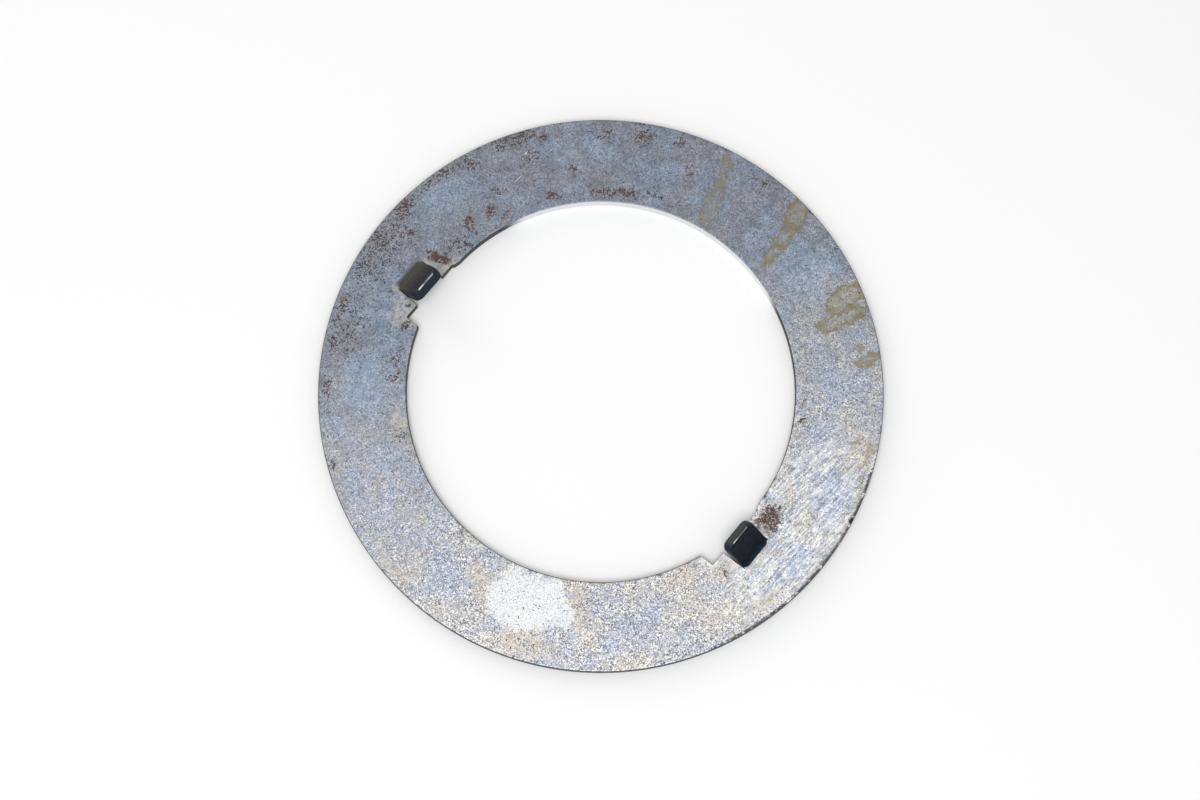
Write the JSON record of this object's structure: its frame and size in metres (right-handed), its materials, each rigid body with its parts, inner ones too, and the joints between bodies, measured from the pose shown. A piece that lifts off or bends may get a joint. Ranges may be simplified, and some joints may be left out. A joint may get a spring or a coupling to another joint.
{
  "type": "thrust washer",
  "caption": "Flat stamped steel thrust washer with a large bore and short tangs, lanced from the bore edge and bent up, that stop it turning.",
  "frame": {"origin": "on the bore axis, in the plane of the back face that the washer lies on", "axes": "+Z along the bore axis towards the side the tangs stand on; X through the two tangs; -Y the way they are offset"},
  "size_m": [0.12, 0.12, 0.0075],
  "materials": {
    "steel": "worn blue-grey steel with rust spots and stains, black finish left on the tangs"
  },
  "bodies": {
    "root": {"thrust_washer": "steel"}
  },
  "joints": []
}
